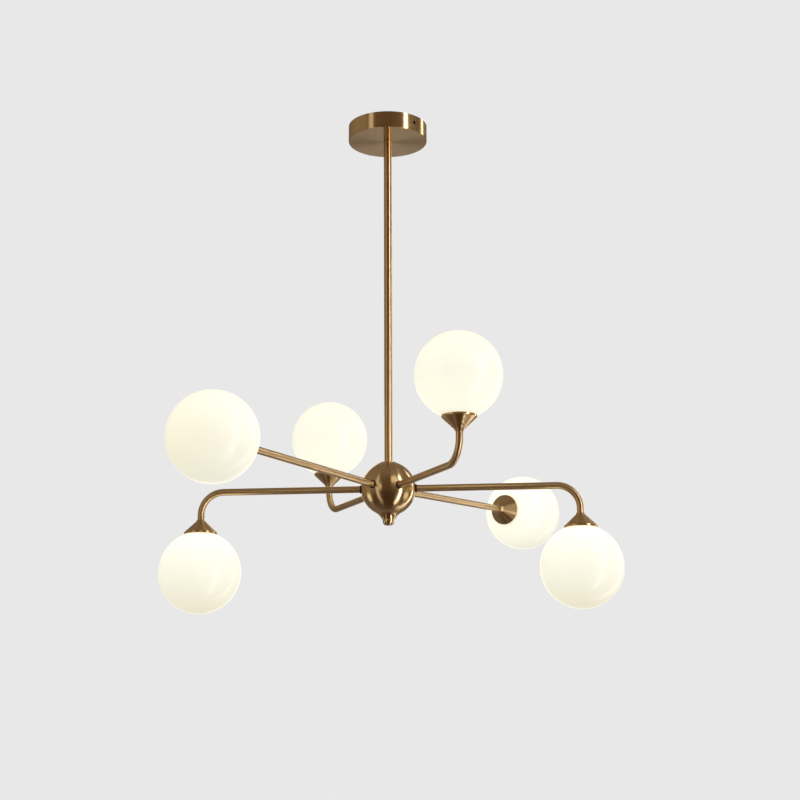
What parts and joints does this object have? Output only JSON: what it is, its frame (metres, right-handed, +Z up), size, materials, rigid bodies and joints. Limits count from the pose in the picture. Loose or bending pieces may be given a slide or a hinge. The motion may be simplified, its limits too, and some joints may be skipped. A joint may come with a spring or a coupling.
{
  "type": "branch chandelier",
  "caption": "Branching ceiling chandelier: spherical hub on a straight stem, with straight, upturned and downturned arms ending in conical cups and opal globes.",
  "frame": {"origin": "centre of the ceiling plate's top face, in the plane of the ceiling", "axes": "+Z up, out of the ceiling plate's top face; +X along straight_arm_1, seen from above; the part hangs below z = 0"},
  "size_m": [0.8796, 0.5998, 0.744],
  "materials": {
    "brushed_brass": "finely brushed, clear lacquered",
    "opal_glass": "glossy opal, lit warm white",
    "lamp_body": "frosted cover",
    "holder_ceramic": "matt white",
    "gasket_silicone": "soft translucent white",
    "lead_jacket": "smooth insulation",
    "zinc_steel": "zinc plated",
    "black_screw": "black oxide",
    "dark_washer": "dark friction washer",
    "white_plastic": "moulded"
  },
  "bodies": {
    "root": {"arm_root_washers": "dark_washer", "canopy_cover": "brushed_brass", "canopy_side_screws": "black_screw", "canopy_terminal_block": "white_plastic", "ceiling_plate": "zinc_steel", "finial_nut": "brushed_brass", "hub_centre_nipple": "zinc_steel", "hub_lower_cap": "brushed_brass", "hub_upper_shell": "brushed_brass", "hub_wire_connector": "white_plastic", "stem_lead": "lead_jacket", "stem_lock_nuts": "zinc_steel", "stem_tube": "brushed_brass", "stem_washer": "zinc_steel", "straight_arm_1_cup": "brushed_brass", "straight_arm_1_lamp_holder": "holder_ceramic", "straight_arm_1_tube": "brushed_brass", "straight_arm_2_cup": "brushed_brass", "straight_arm_2_lamp_holder": "holder_ceramic", "straight_arm_2_tube": "brushed_brass", "straight_arm_leads": "lead_jacket", "straight_arm_lock_nuts": "zinc_steel"},
    "straight_gasket_1": {"straight_arm_1_gasket": "gasket_silicone"},
    "straight_globe_1": {"straight_arm_1_globe": "opal_glass"},
    "straight_lamp_1": {"straight_arm_1_lamp": "lamp_body"},
    "upturned_arm_1": {"upturned_arm_1_tube": "brushed_brass", "upturned_arm_1_cup": "brushed_brass", "upturned_arm_1_lamp_holder": "holder_ceramic", "upturned_arm_1_lock_nut": "zinc_steel", "upturned_arm_1_lead": "lead_jacket"},
    "upturned_gasket_1": {"upturned_arm_1_gasket": "gasket_silicone"},
    "upturned_globe_1": {"upturned_arm_1_globe": "opal_glass"},
    "upturned_lamp_1": {"upturned_arm_1_lamp": "lamp_body"},
    "downturned_arm_1": {"downturned_arm_1_tube": "brushed_brass", "downturned_arm_1_cup": "brushed_brass", "downturned_arm_1_lamp_holder": "holder_ceramic", "downturned_arm_1_lock_nut": "zinc_steel", "downturned_arm_1_lead": "lead_jacket"},
    "downturned_gasket_1": {"downturned_arm_1_gasket": "gasket_silicone"},
    "downturned_globe_1": {"downturned_arm_1_globe": "opal_glass"},
    "downturned_lamp_1": {"downturned_arm_1_lamp": "lamp_body"},
    "straight_gasket_2": {"straight_arm_2_gasket": "gasket_silicone"},
    "straight_globe_2": {"straight_arm_2_globe": "opal_glass"},
    "straight_lamp_2": {"straight_arm_2_lamp": "lamp_body"},
    "upturned_arm_2": {"upturned_arm_2_tube": "brushed_brass", "upturned_arm_2_cup": "brushed_brass", "upturned_arm_2_lamp_holder": "holder_ceramic", "upturned_arm_2_lock_nut": "zinc_steel", "upturned_arm_2_lead": "lead_jacket"},
    "upturned_gasket_2": {"upturned_arm_2_gasket": "gasket_silicone"},
    "upturned_globe_2": {"upturned_arm_2_globe": "opal_glass"},
    "upturned_lamp_2": {"upturned_arm_2_lamp": "lamp_body"},
    "downturned_arm_2": {"downturned_arm_2_tube": "brushed_brass", "downturned_arm_2_cup": "brushed_brass", "downturned_arm_2_lamp_holder": "holder_ceramic", "downturned_arm_2_lock_nut": "zinc_steel", "downturned_arm_2_lead": "lead_jacket"},
    "downturned_gasket_2": {"downturned_arm_2_gasket": "gasket_silicone"},
    "downturned_globe_2": {"downturned_arm_2_globe": "opal_glass"},
    "downturned_lamp_2": {"downturned_arm_2_lamp": "lamp_body"}
  },
  "joints": [
    {"name": "straight_globe_1_unscrew", "type": "hinge", "parent": "straight_gasket_1", "child": "straight_globe_1", "pos_m": [0.37977, 0, -0.55274], "axis": [0.9994, 0, 0.0349], "range_deg": [0, 540]},
    {"name": "straight_globe_1_thread_travel", "type": "slide", "parent": "root", "child": "straight_gasket_1", "axis": [0.9994, 0, 0.0349], "range_m": [0, 0.0046]},
    {"name": "straight_lamp_1_pull", "type": "slide", "parent": "root", "child": "straight_lamp_1", "axis": [0.9994, 0, 0.0349], "range_m": [0, 0.011]},
    {"name": "upturned_arm_1_turn", "type": "hinge", "parent": "root", "child": "upturned_arm_1", "pos_m": [0, 0, -0.566], "axis": [0.5, 0.866, 0], "range_deg": [-60, 60]},
    {"name": "upturned_globe_1_unscrew", "type": "hinge", "parent": "upturned_gasket_1", "child": "upturned_globe_1", "pos_m": [0.1155, 0.20005, -0.448], "axis": [0, 0, 1], "range_deg": [0, 540]},
    {"name": "upturned_globe_1_thread_travel", "type": "slide", "parent": "upturned_arm_1", "child": "upturned_gasket_1", "axis": [0, 0, 1], "range_m": [0, 0.0046]},
    {"name": "upturned_lamp_1_pull", "type": "slide", "parent": "upturned_arm_1", "child": "upturned_lamp_1", "axis": [0, 0, 1], "range_m": [0, 0.011]},
    {"name": "downturned_arm_1_turn", "type": "hinge", "parent": "root", "child": "downturned_arm_1", "pos_m": [0, 0, -0.566], "axis": [-0.5, 0.866, 0], "range_deg": [-60, 60]},
    {"name": "downturned_globe_1_unscrew", "type": "hinge", "parent": "downturned_gasket_1", "child": "downturned_globe_1", "pos_m": [-0.1385, 0.23989, -0.684], "axis": [0, 0, -1], "range_deg": [0, 540]},
    {"name": "downturned_globe_1_thread_travel", "type": "slide", "parent": "downturned_arm_1", "child": "downturned_gasket_1", "axis": [0, 0, -1], "range_m": [0, 0.0046]},
    {"name": "downturned_lamp_1_pull", "type": "slide", "parent": "downturned_arm_1", "child": "downturned_lamp_1", "axis": [0, 0, -1], "range_m": [0, 0.011]},
    {"name": "straight_globe_2_unscrew", "type": "hinge", "parent": "straight_gasket_2", "child": "straight_globe_2", "pos_m": [-0.37977, 0, -0.55274], "axis": [-0.9994, 0, 0.0349], "range_deg": [0, 540]},
    {"name": "straight_globe_2_thread_travel", "type": "slide", "parent": "root", "child": "straight_gasket_2", "axis": [-0.9994, 0, 0.0349], "range_m": [0, 0.0046]},
    {"name": "straight_lamp_2_pull", "type": "slide", "parent": "root", "child": "straight_lamp_2", "axis": [-0.9994, 0, 0.0349], "range_m": [0, 0.011]},
    {"name": "upturned_arm_2_turn", "type": "hinge", "parent": "root", "child": "upturned_arm_2", "pos_m": [0, 0, -0.566], "axis": [-0.5, -0.866, 0], "range_deg": [-60, 60]},
    {"name": "upturned_globe_2_unscrew", "type": "hinge", "parent": "upturned_gasket_2", "child": "upturned_globe_2", "pos_m": [-0.1155, -0.20005, -0.448], "axis": [0, 0, 1], "range_deg": [0, 540]},
    {"name": "upturned_globe_2_thread_travel", "type": "slide", "parent": "upturned_arm_2", "child": "upturned_gasket_2", "axis": [0, 0, 1], "range_m": [0, 0.0046]},
    {"name": "upturned_lamp_2_pull", "type": "slide", "parent": "upturned_arm_2", "child": "upturned_lamp_2", "axis": [0, 0, 1], "range_m": [0, 0.011]},
    {"name": "downturned_arm_2_turn", "type": "hinge", "parent": "root", "child": "downturned_arm_2", "pos_m": [0, 0, -0.566], "axis": [0.5, -0.866, 0], "range_deg": [-60, 60]},
    {"name": "downturned_globe_2_unscrew", "type": "hinge", "parent": "downturned_gasket_2", "child": "downturned_globe_2", "pos_m": [0.1385, -0.23989, -0.684], "axis": [0, 0, -1], "range_deg": [0, 540]},
    {"name": "downturned_globe_2_thread_travel", "type": "slide", "parent": "downturned_arm_2", "child": "downturned_gasket_2", "axis": [0, 0, -1], "range_m": [0, 0.0046]},
    {"name": "downturned_lamp_2_pull", "type": "slide", "parent": "downturned_arm_2", "child": "downturned_lamp_2", "axis": [0, 0, -1], "range_m": [0, 0.011]}
  ],
  "couplings": [
    {"joint": "straight_globe_1_thread_travel", "follows": "straight_globe_1_unscrew", "m_per_rad": 0.00047746},
    {"joint": "upturned_globe_1_thread_travel", "follows": "upturned_globe_1_unscrew", "m_per_rad": 0.00047746},
    {"joint": "downturned_globe_1_thread_travel", "follows": "downturned_globe_1_unscrew", "m_per_rad": 0.00047746},
    {"joint": "straight_globe_2_thread_travel", "follows": "straight_globe_2_unscrew", "m_per_rad": 0.00047746},
    {"joint": "upturned_globe_2_thread_travel", "follows": "upturned_globe_2_unscrew", "m_per_rad": 0.00047746},
    {"joint": "downturned_globe_2_thread_travel", "follows": "downturned_globe_2_unscrew", "m_per_rad": 0.00047746}
  ]
}
